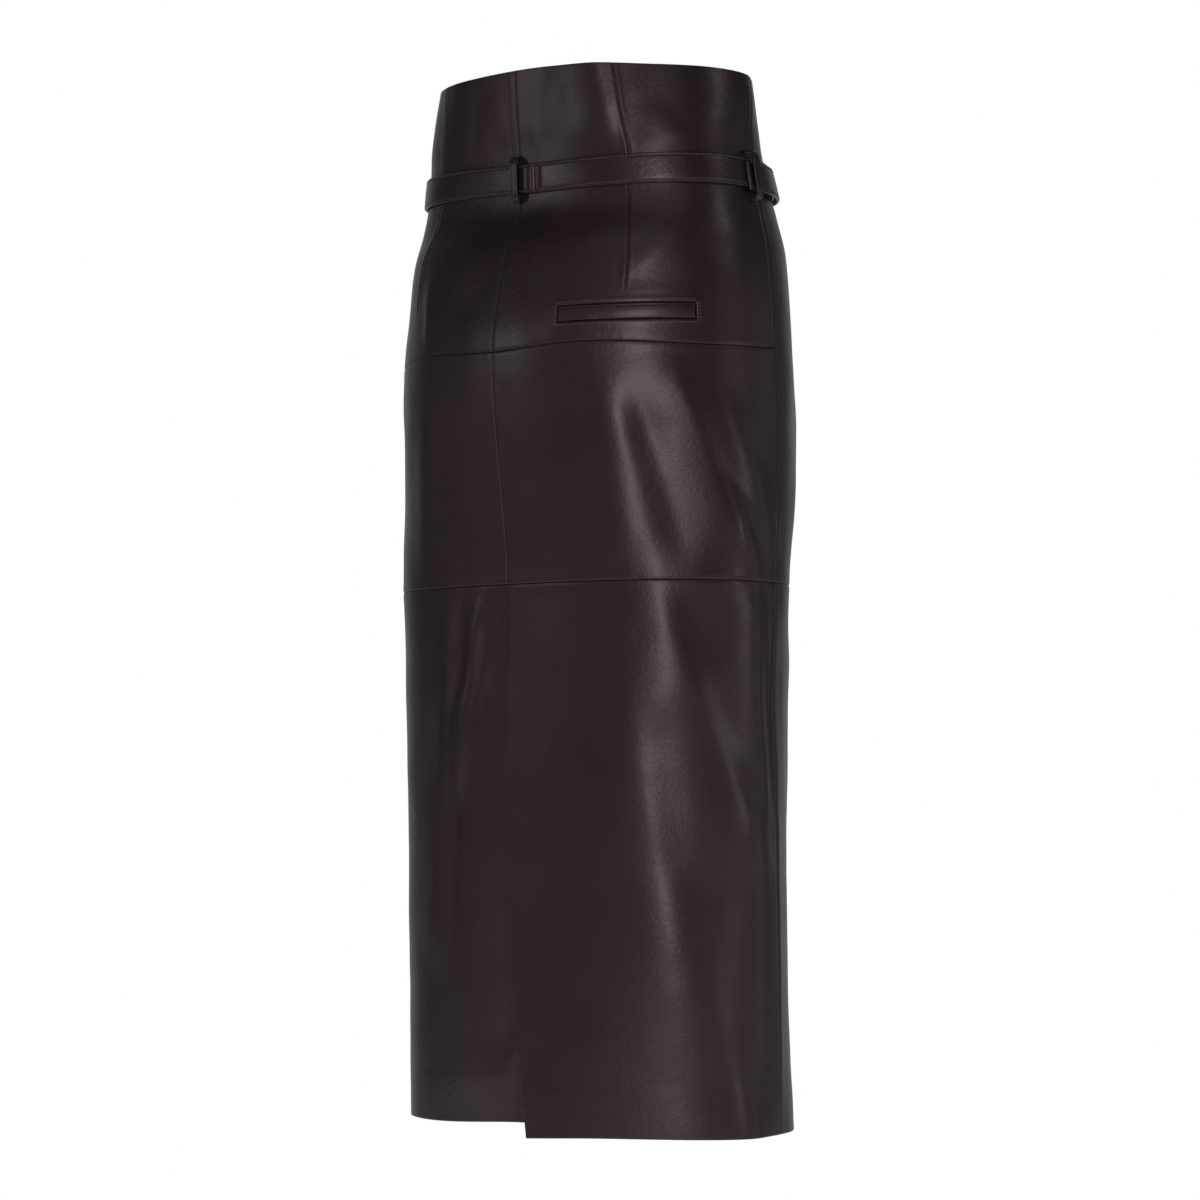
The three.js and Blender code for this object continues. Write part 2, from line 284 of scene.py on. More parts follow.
def fold_relief(fold, x, z):
    """How far one fold stands out, from each point's distance to the fold's line."""
    line = fold_line(fold)
    nearest = np.full(x.shape, np.inf)
    off = np.zeros(x.shape)
    along = np.zeros(x.shape)
    for k, (start, end) in enumerate(zip(line[:-1], line[1:])):
        length = math.dist(start, end)
        across = (end - start) / length
        t = np.clip(((x - start[0]) * across[0] + (z - start[1]) * across[1]) / length, 0, 1)
        dx = x - start[0] - t * length * across[0]
        dz = z - start[1] - t * length * across[1]
        distance = np.hypot(dx, dz)
        closer = distance < nearest
        nearest = np.where(closer, distance, nearest)
        side = np.where(dx * across[1] < dz * across[0], 1, -1)
        off = np.where(closer, side * distance, off)
        along = np.where(closer, (k + t) / FOLD_STEPS, along)
    total = np.linalg.norm(np.diff(line, axis=0), axis=1).sum()
    fade = min(FOLD_FADE, 0.4 * total)
    ends = ease(along * total / fade) * ease((1 - along) * total / fade)
    return fold["height"] * crest(off, fold["before"], fold["after"], fold["round"]) * ends


def folded(s, z):
    """How far the leather stands out or in at the folds."""
    s, z = np.broadcast_arrays(np.asarray(s, float), np.asarray(z, float))
    relief = np.zeros(s.shape)
    for k in range(len(FOLDS["high"])):
        fold = {name: values[k] for name, values in FOLDS.items()}
        reach = FOLD_REACH * max(fold["before"], fold["after"])
        x = (fold["by"] + around(s - fold["by"])) * STATION_LENGTH
        left = min(fold["from"], fold["to"], fold["by"]) * STATION_LENGTH - reach
        right = max(fold["from"], fold["to"], fold["by"]) * STATION_LENGTH + reach
        near = (x > left) & (x < right) & (z < fold["high"] + reach) & (z > fold["low"] - reach)
        if near.any():
            relief[near] += fold_relief(fold, x[near], z[near])
    return relief


def rumple(x, y, size, seed):
    """Soft unevenness from -1 to 1 that repeats only after 64 patches of the size."""
    lattice = np.random.default_rng(seed).uniform(-1, 1, (64, 64))
    x = np.asarray(x) / size
    y = np.asarray(y) / size
    column_index = np.floor(x).astype(int)
    row_index = np.floor(y).astype(int)
    across = ease(x - column_index)
    up = ease(y - row_index)
    corner = [[lattice[(row_index + j) % 64, (column_index + i) % 64] for i in (0, 1)] for j in (0, 1)]
    return lerp(lerp(corner[0][0], corner[0][1], across), lerp(corner[1][0], corner[1][1], across), up)


def belt_height(s):
    """Height of the belt's middle."""
    turn = around(s) * math.pi
    return -1 - 3 * np.sin(turn / 2) + 1.5 * (1 - np.cos(turn))


def freedom(s, z):
    """0 where the belt holds the leather flat and 1 away from it."""
    return ease((np.abs(z - belt_height(s)) - 15) / 22)


def unevenness(s, z):
    x = around(s) * 262
    wide = 0.75 * rumple(x, z, 74, 3) + 0.42 * rumple(x + 31, z + 17, 37, 5)
    narrow = 0.16 * rumple(x, z * 0.8, 17, 8)
    drawn = 0.30 * rumple(x + 9, z * 0.3, 13, 12) * bump(np.abs(z - belt_height(s)) - 26, 16)
    return wide + narrow + drawn


def relief(s, z):
    return freedom(s, z) * (folded(s, z) + unevenness(s, z))


def body_point(s, z, out):
    angle = station_angle(s, z)
    r = radius(angle, z) + out
    return np.stack(np.broadcast_arrays(-r * np.sin(angle), r * np.cos(angle), z), axis=-1)


def skin(s, z):
    """The smooth body of the skirt, which the belt lies on."""
    return body_point(s, z, 0)


def leather(s, z):
    return body_point(s, z, relief(s, z))


def centre_scale(z):
    return column(SECTIONS, "back", z) * np.radians(column(SECTIONS, "side", z))


def vent_edge(z):
    return column(VENT, "edge", z) / centre_scale(z)


def underlap_edge(z):
    return vent_edge(z) + UNDERLAP / centre_scale(z)


def right_vent_leather(s, z):
    away = np.maximum(0, (s - vent_edge(z)) * centre_scale(z))
    swing = column(VENT, "swing", z) * bump(away, SWING_REACH)
    return body_point(s, z, relief(s, z) + swing)


def left_vent_leather(s, z):
    before = np.maximum(0, (vent_edge(z) - s) * centre_scale(z))
    under = sizes().wall / MM + UNDERLAP_GAP
    turned = np.maximum(0, column(VENT, "turn", z) - under) * bump(before, TURN_REACH)
    tucked = under * (1 - ease((before - 1) / 14))
    return body_point(s, z, relief(s, z) * ease(before / 30) - turned - tucked)


def outward(surface, s, z):
    """Outward normals of a surface."""
    along_s = surface(s + 0.002, z) - surface(s - 0.002, z)
    along_z = surface(s, z + 0.5) - surface(s, z - 0.5)
    normal = np.cross(along_s, along_z)
    return normal / np.linalg.norm(normal, axis=-1, keepdims=True)


def lifted(surface, s, z, out):
    return surface(s, z) + outward(surface, s, z) * np.asarray(out)[..., None]


def top_edge(s):
    sideways = np.sin(around(s) * math.pi / 2)
    return TOP_EDGE_BACK - (1 + 4 * sideways) * sideways**2


def hip_seam(s):
    return HIP_SEAM - 2 * np.cos(around(s) * math.pi / 0.4)


def thigh_seam(s):
    return THIGH_SEAM + 0 * s


def hem(s):
    return HEM - 2 * np.sin(around(s) * math.pi / 2)


def right_hem(s):
    return hem(s) - VENT_HEM_DROP * bump(s, 0.35)


def left_hem(s):
    return hem(s) + VENT_HEM_RISE * ease((s + 0.6) / 0.6)


def pocket_bottom(s):
    return POCKET_HEIGHTS[0] + 0 * s


def pocket_top(s):
    return POCKET_HEIGHTS[1] + 0 * s


def line_at(station):
    """A cut that keeps to one station."""
    return lambda z: station + 0 * z


def dart_line(table, turn=0, mirror=1):
    return lambda z: turn + mirror * column(table, "at", z)


def sizes():
    return bpy.context.scene.skirt_sizes


def finish_values():
    return bpy.context.scene.skirt_finish


# Meshes


def spaced(width, step, fine=EDGE_STEPS):
    """Shares of a width in millimetres, close together beside both ends."""
    near = np.array([d for d in fine if d < width * 0.42])
    last = near[-1]
    count = max(1, round((width - 2 * last) / step))
    middle = np.linspace(last, width - last, count + 1)
    return np.concatenate([near[:-1], middle, (width - near[:-1])[::-1]]) / width


def marks(widths, step):
    """Numbers that count guides: 0 to 1 lies between the first two, 1 to 2 between the next."""
    parts = [k + spaced(width, step)[min(k, 1):] for k, width in enumerate(widths)]
    return np.concatenate(parts)


def between_guides(guides, mark, where):
    """Where the marks lie between the guides' values."""
    values = np.stack([guide(where) for guide in guides])
    k = np.clip(np.floor(mark).astype(int), 0, len(guides) - 2)
    index = np.arange(len(mark))
    return lerp(values[k, index], values[k + 1, index], mark - k)


def grid_mesh(name, columns, rows, place):
    """A grid of as many columns and rows as the marks, with each point put in its place."""
    bm = bmesh.new()
    bmesh.ops.create_grid(bm, x_segments=len(columns) - 1, y_segments=len(rows) - 1, size=0.5)
    for face in bm.faces:
        face.smooth = True
    mesh = bpy.data.meshes.new(name)
    bm.to_mesh(mesh)
    bm.free()
    flat = np.empty(len(mesh.vertices) * 3)
    mesh.vertices.foreach_get("co", flat)
    flat = flat.reshape(-1, 3)
    column_index = np.rint((flat[:, 0] + 0.5) * (len(columns) - 1)).astype(int)
    row_index = np.rint((flat[:, 1] + 0.5) * (len(rows) - 1)).astype(int)
    points = place(columns[column_index], rows[row_index])
    mesh.vertices.foreach_set("co", (points * MM).ravel())
    mesh.update()
    return mesh


def put_in_scene(name, mesh, materials, slot, *nodes):
    piece = bpy.data.objects.new(name, mesh)
    bpy.context.scene.collection.objects.link(piece)
    for material in materials:
        mesh.materials.append(material)
    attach(piece, "root")
    if nodes:
        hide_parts(*nodes)
    return piece


def thicken(piece, thickness, detail):
    """Gives a sheet its thickness inwards, then moves only its outer points out by the detail."""
    before = len(piece.data.vertices)
    outer = np.empty(before * 3)
    piece.data.vertices.foreach_get("co", outer)
    wall = piece.modifiers.new("wall", "SOLIDIFY")
    wall.thickness = thickness
    wall.offset = -1
    wall.use_rim = True
    wall.material_offset = len(piece.data.materials) - 1
    graph = bpy.context.evaluated_depsgraph_get()
    mesh = bpy.data.meshes.new_from_object(piece.evaluated_get(graph))
    piece.modifiers.clear()
    piece.data = mesh
    points = np.empty(len(mesh.vertices) * 3)
    mesh.vertices.foreach_get("co", points)
    points = points.reshape(-1, 3)
    outer = outer.reshape(-1, 3)
    first_half = np.abs(points[:before] - outer).max() < 1e-6
    start = 0 if first_half else before
    inner = points[before - start:2 * before - start]
    away = points[start:start + before] - inner
    away /= np.linalg.norm(away, axis=1, keepdims=True)
    points[start:start + before] += away * detail[:, None] * MM
    mesh.vertices.foreach_set("co", points.ravel())
    mesh.update()


def rolled(distance, reach, depth):
    """A panel's edge turns down over the reach, as a quarter of a circle."""
    share = np.clip(1 - distance / reach, 0, 1)
    return -depth * (1 - np.sqrt(1 - share**2))


def puckers(distance, along, seed):
    """Small uneven gathers beside a seam."""
    waves = np.sin(along * 0.72 + 2.2 * rumple(along, 0 * along, 21, seed))
    return 0.09 * waves * bump(distance - 2.2, 2.4) * (0.4 + 0.6 * np.abs(rumple(along, 0 * along, 33,
                                                                                 seed + 1)))


def seam_edge(distance, along, seed):
    """A sewn edge: it turns down into the seam, with a low swell beside it."""
    swell = 0.22 * bump(distance - 3.2, 2.6) - 0.18 * bump(distance, 2.6)
    return rolled(distance, 1.05, 0.95) + swell + puckers(distance, along, seed)


def free_edge(distance):
    return rolled(distance, 0.9, 0.9)


def dart_detail(distance, z, end):
    """A dart shows as a fine groove between two low swells and fades at its point."""
    groove = -0.8 * bump(distance, 0.75) + 0.30 * bump(distance - 2.1, 1.7) + 0.34 * bump(distance + 2.1, 1.7)
    drawn = 0.10 * np.sin(z * 0.7 + 1.8 * rumple(z, 0 * z, 19, 40)) * bump(distance - 2.6, 2)
    return (groove + drawn) * ease((z - end) / 14)


def box_distance(x, y, half_width, half_height):
    """How far a point lies outside a rectangle, and below 0 inside it."""
    over_x = np.abs(x) - half_width
    over_y = np.abs(y) - half_height
    outside = np.hypot(np.maximum(over_x, 0), np.maximum(over_y, 0))
    return outside + np.minimum(np.maximum(over_x, over_y), 0)


def pocket_distance(s, z):
    middle = (POCKET[0] + POCKET[1]) / 2
    scale = girth(np.float64(middle), np.float64(-121))
    half_width = (POCKET[1] - POCKET[0]) / 2 * scale
    half_height = (POCKET_HEIGHTS[1] - POCKET_HEIGHTS[0]) / 2
    return box_distance((s - middle) * scale, z - sum(POCKET_HEIGHTS) / 2, half_width, half_height)


def pocket_window(s, z):
    """The panel stands up round the pocket's window and drops inside it."""
    distance = pocket_distance(s, z)
    swell = 0.65 * bump(distance - 2.2, 2.2) * (distance > 0) + 0.35 * bump(distance - 9, 5)
    edge = 0.65 * bump(2.2, 2.2) * (distance <= 0)
    return swell + edge - 1.75 * ease((0.5 - distance) / 0.9)


def hem_fold(s, above):
    """The turned-up hem shows as a faint step four centimetres above the edge."""
    line = 38 + 3 * rumple(s * 262, 0 * s, 60, 51)
    strength = 0.6 + 0.4 * rumple(s * 262, 0 * s, 45, 52)
    return 0.30 * strength * bump(above - line, 2.6) + 0.16 * ease((line - above) / 5)


class PanelShape:
    """One cut panel: its guides across and up, the surface it follows and how each side ends."""

    def __init__(self, name, stations, heights, surface, ends, detail=None):
        self.name = name
        self.stations = stations
        self.heights = heights
        self.surface = surface
        self.ends = ends
        self.detail = detail

    def gap(self, side):
        return sizes().seam_gap / MM / 2 if self.ends[side] == "seam" else 0

    def make(self):
        middle_z = np.array([(self.heights[0](0.0) + self.heights[-1](0.0)) / 2])
        guides = [float(guide(middle_z)[0]) for guide in self.stations]
        middle_s = np.array([(guides[0] + guides[-1]) / 2])
        scale = float(girth(middle_s, middle_z)[0])
        levels = [float(guide(middle_s)[0]) for guide in self.heights]
        step = sizes().cell / MM
        columns = marks(np.diff(guides) * scale, step)
        rows = marks(np.diff(levels), step)
        kept = {}

        def place(across, up):
            nominal = between_guides(self.heights, up, np.full(len(up), middle_s[0]))
            s = between_guides(self.stations, across, nominal)
            z = between_guides(self.heights, up, s)
            s = between_guides(self.stations, across, z)
            scale_here = girth(s, z)
            first = self.stations[0](z)
            last = self.stations[-1](z)
            share = (s - first) / (last - first)
            s = s + lerp(self.gap("left"), -self.gap("right"), share) / scale_here
            height_share = up / (len(self.heights) - 1)
            z = z + lerp(self.gap("bottom"), -self.gap("top"), height_share)
            kept.update(s=s, z=z, left=(s - first) * scale_here, right=(last - s) * scale_here)
            kept.update(bottom=z - self.heights[0](s), top=self.heights[-1](s) - z)
            return self.surface(s, z)

        mesh = grid_mesh(self.name, columns, rows, place)
        materials = [bpy.data.materials["Burgundy Leather"], bpy.data.materials["Flesh Side"]]
        piece = put_in_scene(self.name + "_leather", mesh, materials, "leather", self.name)
        thicken(piece, sizes().wall, self.fine_form(kept))
        return piece

    def fine_form(self, kept):
        """How far the outer face alone stands out or in."""
        s = kept["s"]
        z = kept["z"]
        along = {"left": z, "right": z, "bottom": s * 262, "top": s * 262}
        total = np.zeros(len(s))
        for number, (side, kind) in enumerate(self.ends.items()):
            distance = kept[side]
            if kind == "seam":
                total += seam_edge(distance, along[side], 20 + 7 * number)
            else:
                total += free_edge(distance)
        if self.heights[0] in (hem, right_hem, left_hem):
            total += hem_fold(s, kept["bottom"])
        if self.detail:
            total += self.detail(s, z)
        return total


def right_upper_detail(s, z):
    dart = dart_detail((s - column(RIGHT_DART, "at", z)) * girth(s, z), z, -106)
    return dart + pocket_window(s, z)


def left_upper_detail(s, z):
    return dart_detail((s - column(LEFT_DART, "at", z)) * girth(s, z), z, -106)


def front_upper_detail(s, z):
    offset = column(FRONT_DART, "at", z)
    right = dart_detail((s - 2 + offset) * girth(s, z), z, -96)
    left = dart_detail((s - 2 - offset) * girth(s, z), z, -96)
    return right + left


def panel_shapes():
    sewn = {"left": "seam", "right": "seam", "bottom": "seam", "top": "seam"}
    waist = {**sewn, "top": "free"}
    hemmed = {**sewn, "bottom": "free"}
    right_dart = dart_line(RIGHT_DART)
    left_dart = dart_line(LEFT_DART)
    pocket_guides = [line_at(POCKET[0]), line_at(POCKET[1])]
    upper_right = [line_at(0), pocket_guides[0], right_dart, pocket_guides[1], line_at(SIDE_SEAM)]
    front_sides = [line_at(SIDE_SEAM), line_at(4 - SIDE_SEAM)]
    front_upper = [front_sides[0], dart_line(FRONT_DART, 2, -1), dart_line(FRONT_DART, 2), front_sides[1]]
    return [
        PanelShape("back_upper_right", upper_right, [hip_seam, pocket_bottom, pocket_top, top_edge], leather,
                   waist, right_upper_detail),
        PanelShape("back_upper_left", [line_at(-SIDE_SEAM), left_dart, line_at(0)], [hip_seam, top_edge],
                   leather,
                   waist, left_upper_detail),
        PanelShape("back_middle_right", [line_at(0), line_at(SIDE_SEAM)], [thigh_seam, hip_seam], leather,
                   sewn),
        PanelShape("back_middle_left", [line_at(-SIDE_SEAM), line_at(0)], [thigh_seam, hip_seam], leather,
                   sewn),
        PanelShape("back_lower_right", [vent_edge, line_at(SIDE_SEAM)], [right_hem, thigh_seam],
                   right_vent_leather,
                   {**hemmed, "left": "free"}),
        PanelShape("back_lower_left", [line_at(-SIDE_SEAM), vent_edge, underlap_edge], [left_hem, thigh_seam],
                   left_vent_leather, {**hemmed, "right": "free"}),
        PanelShape("front_upper", front_upper, [thigh_seam, top_edge], leather, waist, front_upper_detail),
        PanelShape("front_lower", front_sides, [hem, thigh_seam], leather, hemmed),
    ]


# Belt, loops, buckle and pocket


def strap_start():
    """The belt begins beside the buckle's bar."""
    z = np.zeros(1)
    scale = float(radius(np.array([math.pi]), z)[0] * (math.pi - station_angle(np.ones(1), z)[0]))
    return 2 - (BUCKLE[0] / 2 + REST_GAP) / scale


def strap_clearance(s):
    thick = sizes().belt_thickness / MM
    second = thick + BELT_LAYER_GAP + (BUCKLE_THICK + REST_GAP - thick) * ease((s + 2.5) / 0.4)
    return BELT_CLEAR + second * ease((FIRST_TURN_END - s) / 0.13)


def strap_middle(s):
    return belt_height(s) - BELT_DROP * ease((-2.1 - s) / 0.7)


def strap_point(s, up, out):
    """A point of the belt's outer face: up from its middle line and out from its face."""
    thick = sizes().belt_thickness / MM
    return lifted(skin, s, strap_middle(s) + up, strap_clearance(s) + thick + out)


def strap_length(s):
    """Millimetres along the belt from its free end."""
    stations = np.linspace(STRAP_END, strap_start(), 1200)
    points = strap_point(stations, 0 * stations, 0 * stations)
    steps = np.linalg.norm(np.diff(points, axis=0), axis=1)
    return np.interp(s, stations, np.concatenate([[0], np.cumsum(steps)]))


def belt_detail(length, up):
    """The belt's rounded edges, sewn grooves, low crown and the seam where it is joined."""
    width = sizes().belt_width / MM
    pitch = sizes().stitch_pitch / MM
    scallop = 0.12 * np.cos(2 * math.pi * length / pitch)
    inside = width / 2 - np.abs(up) - scallop * bump(width / 2 - np.abs(up), 1.2)
    pull = 0.75 + 0.25 * np.cos(2 * math.pi * length / pitch)
    groove = -0.55 * bump(inside - 2.1, 0.75) * pull
    crown = 0.45 * (1 - (2 * up / width) ** 2)
    join = float(strap_length(np.array([BELT_JOIN]))[0])
    off = length - join
    seam = -0.75 * bump(off, 0.6) + 1.0 * bump(np.abs(off) - 4, 2.8)
    whole = float(strap_length(np.array([strap_start()]))[0])
    ends = rolled(length, 1.2, 1.2) + rolled(whole - length, 1.2, 1.2)
    uneven = 0.16 * rumple(length, up, 24, 61) + 0.06 * rumple(length, up, 9, 62)
    return rolled(inside, 1.1, 1.1) + groove + crown + seam + ends + uneven


def make_belt():
    width = sizes().belt_width / MM
    across = np.array([0, 0.12, 0.35, 0.7, 1.1, 1.5, 1.8, 2.1, 2.4, 2.8, 3.4, 4.6, 6.2, 8, 10.2])
    rows = np.concatenate([across, [width / 2], width - across[::-1]]) - width / 2
    start = strap_start()
    stations = np.linspace(STRAP_END, start, 1100)
    kept = {}

    def place(s, up):
        kept.update(s=s, up=up)
        return strap_point(s, up, 0 * s)

    mesh = grid_mesh("belt", stations, rows, place)
    material = bpy.data.materials["Belt Leather"]
    piece = put_in_scene("belt_strap", mesh, [material], "belt_leather", "belt")
    thicken(piece, sizes().belt_thickness, belt_detail(strap_length(kept["s"]), kept["up"]))
    return piece


def loop_point(station, stand_off, middle, half_height, across, along):
    """A point of a belt loop's outer face: across in millimetres, along from 0 at its foot to 1."""
    angle = math.pi * along
    up = np.abs(np.cos(angle)) / half_height
    off = np.abs(np.sin(angle)) / stand_off
    reach = (up**LOOP_SQUARE + off**LOOP_SQUARE) ** (-1 / LOOP_SQUARE)
    z = middle - reach * np.cos(angle)
    scale = girth(np.full(len(z), float(station)), z)
    return lifted(skin, station + across / scale, z, REST_GAP + reach * np.sin(angle))


LOOPS = named_table("station stand_off middle half_height", [
    (0, 8.5, -1.5, 19.5),
    (0.965, 11, -3.5, 21),
    (-0.965, 8, 4, 19.5),
])
LOOP_NAMES = ("belt_loop_back", "belt_loop_right", "belt_loop_left")


def make_loop(number):
    width = sizes().loop_width / MM
    edges = np.array([0, 0.15, 0.45, 0.8, 1.2, 1.7, 2.3, 3.1])
    across = np.concatenate([edges, width - edges[::-1]]) - width / 2
    along = np.linspace(0, 1, 90)
    kept = {}
    shape = [LOOPS[name][number] for name in ("station", "stand_off", "middle", "half_height")]

    def place(column_mark, row_mark):
        kept.update(across=column_mark, along=row_mark)
        return loop_point(*shape, column_mark, row_mark)

    name = LOOP_NAMES[number]
    mesh = grid_mesh(name, across, along, place)
    materials = [bpy.data.materials["Belt Leather"], bpy.data.materials["Raw Edge"]]
    piece = put_in_scene(name + "_strap", mesh, materials, "belt_leather", name)
    inside = width / 2 - np.abs(kept["across"])
    groove = -0.22 * bump(inside - 1.7, 0.5)
    crown = 0.25 * (1 - (2 * kept["across"] / width) ** 2)
    thicken(piece, sizes().loop_thickness, rolled(inside, 0.7, 0.7) + groove + crown)
    return piece


def signed_root(value):
    return np.sign(value) * np.sqrt(np.abs(value))


def make_buckle():
    """A frame covered in leather: one closed ring with a rounded bar."""
    turns = np.linspace(0, 1, 193)
    bars = np.linspace(0, 1, 25)
    z = np.zeros(1)
    front_scale = float(radius(np.array([math.pi]), z)[0] * (math.pi - station_angle(np.ones(1), z)[0]))
    thick = sizes().belt_thickness / MM
    under = BELT_CLEAR + thick + 2 * REST_GAP
    middle = float(belt_height(np.array([2.0]))[0])

    def place(turn, bar):
        angle = 2 * math.pi * turn
        corner = 2 * math.pi * bar
        inward = BUCKLE_BAR * (0.5 - 0.5 * signed_root(np.cos(corner)))
        front = BUCKLE_THICK * (0.5 + 0.5 * signed_root(np.sin(corner)))
        across = np.abs(np.cos(angle)) / (BUCKLE[0] / 2 - inward)
        up = np.abs(np.sin(angle)) / (BUCKLE[1] / 2 - inward)
        reach = (across**8 + up**8) ** (-1 / 8)
        x = reach * np.cos(angle)
        out = lerp(BELT_CLEAR, under, ease((x / BUCKLE[0] + 0.35) / 0.7)) + front
        return lifted(skin, 2 + x / front_scale, middle + reach * np.sin(angle), out)

    mesh = grid_mesh("buckle", turns, bars, place)
    bm = bmesh.new()
    bm.from_mesh(mesh)
    bmesh.ops.remove_doubles(bm, verts=bm.verts[:], dist=0.000002)
    bmesh.ops.recalc_face_normals(bm, faces=bm.faces[:])
    bm.to_mesh(mesh)
    bm.free()
    return put_in_scene("belt_buckle_frame", mesh, [bpy.data.materials["Belt Leather"]], "belt_leather",
                        "belt_buckle")


def make_welt():
    """The strip of leather that fills the pocket's window."""
    middle = (POCKET[0] + POCKET[1]) / 2
    scale = float(girth(np.array([middle]), np.array([-121.0]))[0])
    margin = 0.75
    half_width = (POCKET[1] - POCKET[0]) / 2 * scale - margin
    half_height = (POCKET_HEIGHTS[1] - POCKET_HEIGHTS[0]) / 2 - margin
    fine = (0, 0.12, 0.3, 0.6, 1, 1.6, 2.5)
    columns = (spaced(2 * half_width, 2, fine) - 0.5) * 2 * half_width
    rows = (spaced(2 * half_height, 0.8, fine) - 0.5) * 2 * half_height
    kept = {}

    def place(across, up):
        kept.update(across=across, up=up)
        s = middle + across / scale
        return lifted(leather, s, sum(POCKET_HEIGHTS) / 2 + up, 0.15 + 0 * s)

    mesh = grid_mesh("pocket_welt", columns, rows, place)
    piece = put_in_scene("pocket_welt_strip", mesh, [bpy.data.materials["Burgundy Leather"]], "leather",
                         "pocket_welt")
    inside = np.minimum(half_width - np.abs(kept["across"]), half_height - np.abs(kept["up"]))
    crown = 0.8 * (1 - (kept["up"] / half_height) ** 2)
    lip = -0.35 * bump(half_height - kept["up"] - 1.6, 0.5)
    uneven = 0.12 * rumple(kept["across"], kept["up"], 14, 71)
    thicken(piece, 0.9 * MM, rolled(inside, 0.8, 0.7) + crown + lip + uneven)
    return piece


# Stitching


def stitch_row(bm, points, normals, pitch, length, width, height):
    """Sews one row: small rounded threads, evenly spaced along a line of points."""
    steps = np.linalg.norm(np.diff(points, axis=0), axis=1)
    travelled = np.concatenate([[0], np.cumsum(steps)])
    count = int(travelled[-1] // pitch)
    for k in range(count):
        at = (k + 0.5) * pitch
        ends = [Vector([np.interp(at + d, travelled, points[:, i]) for i in range(3)])
                for d in (-length / 2, length / 2)]
        normal = Vector([np.interp(at, travelled, normals[:, i]) for i in range(3)]).normalized()
        along = (ends[1] - ends[0]).normalized()
        across = normal.cross(along).normalized()
        turn = Matrix((along, across, normal)).transposed().to_4x4()
        middle = (ends[0] + ends[1]) / 2
        matrix = Matrix.Translation(middle * MM) @ turn @ Matrix.Diagonal(
            (length * MM, width * MM, height * MM, 1))
        bmesh.ops.create_uvsphere(bm, u_segments=6, v_segments=4, radius=0.5, matrix=matrix)


def row_on(surface, stations, heights, out):
    """Points and normals of a sewn line on a surface."""
    normals = outward(surface, stations, heights)
    return surface(stations, heights) + normals * np.asarray(out)[..., None], normals


def belt_rows():
    """The two sewn lines of the belt."""
    width = sizes().belt_width / MM
    stations = np.linspace(STRAP_END + 0.012, strap_start() - 0.012, 1500)
    normals = outward(skin, stations, strap_middle(stations))
    rows = []
    for side in (-1, 1):
        up = np.full(len(stations), side * (width / 2 - 2.1))
        rows.append((strap_point(stations, up, 0.02 + 0 * stations), normals))
    join = BELT_JOIN
    scale = float(girth(np.array([join]), np.zeros(1))[0])
    for side in (-1, 1):
        up = np.linspace(2.6 - width / 2, width / 2 - 2.6, 40)
        stations = np.full(len(up), join + side * 2.6 / scale)
        rows.append((strap_point(stations, up, belt_detail(strap_length(stations), up) + 0.05),
                     outward(skin, stations, strap_middle(stations))))
    return rows


def pocket_rows():
    """The sewn rectangle round the pocket's window, twice at its right end."""
    middle = (POCKET[0] + POCKET[1]) / 2
    scale = float(girth(np.array([middle]), np.array([-121.0]))[0])
    off = 2.4
    left = POCKET[0] - off / scale
    right = POCKET[1] + off / scale
    low = POCKET_HEIGHTS[0] - off
    high = POCKET_HEIGHTS[1] + off
    count = 160
    runs = [
        (np.linspace(left, right, count), np.full(count, high)),
        (np.linspace(left, right, count), np.full(count, low)),
        (np.full(count, left), np.linspace(low, high, count)),
        (np.full(count, right), np.linspace(low, high, count)),
        (np.full(count, right - 1.6 / scale), np.linspace(low + 2.4, high - 2.4, count)),
    ]
    return [row_on(leather, s, z, 0.10 + pocket_window(s, z)) for s, z in runs]


def side_rows():
    """A sewn line behind each side seam, from the belt to the hip seam."""
    rows = []
    for side in (1, -1):
        z = np.linspace(-24, -143, 300)
        s = side * (SIDE_SEAM - 3.2 / girth(np.full(len(z), float(side)), z))
        rows.append(row_on(leather, s, z, 0.22 + 0 * z))
    return rows


def loop_rows():
    """Short sewn lines that hold the feet of the belt loops."""
    rows = []
    for number in range(len(LOOP_NAMES)):
        shape = [LOOPS[name][number] for name in ("station", "stand_off", "middle", "half_height")]
        for foot in (0.055, 0.945):
            across = np.linspace(-2.9, 2.9, 20)
            along = np.full(len(across), foot)
            points = loop_point(*shape, across, along)
            beside = loop_point(*shape, across, along + 0.004)
            normals = np.cross(np.gradient(points, axis=0), beside - points)
            normals /= np.linalg.norm(normals, axis=1, keepdims=True)
            rows.append((points + normals * 0.22, normals))
    return rows


def make_stitching(name, rows, slot):
    pitch = sizes().stitch_pitch / MM
    bm = bmesh.new()
    for points, normals in rows:
        stitch_row(bm, points, normals, pitch, pitch * 0.76, 0.86, 0.62)
    for face in bm.faces:
        face.smooth = True
    mesh = bpy.data.meshes.new(name)
    bm.to_mesh(mesh)
    bm.free()
    return put_in_scene(name, mesh, [bpy.data.materials["Thread"]], slot)


# Materials


class Nodes:
    """Adds nodes to a tree and joins them by name."""

    def __init__(self, tree):
        self.tree = tree

    def add(self, kind, inputs=None, **settings):
        node = self.tree.nodes.new(kind)
        for name, value in settings.items():
            setattr(node, name, value)
        for name, value in (inputs or {}).items():
            socket = node.inputs[name]
            if isinstance(value, bpy.types.NodeSocket):
                self.tree.links.new(value, socket)
            else:
                socket.default_value = value
        return node


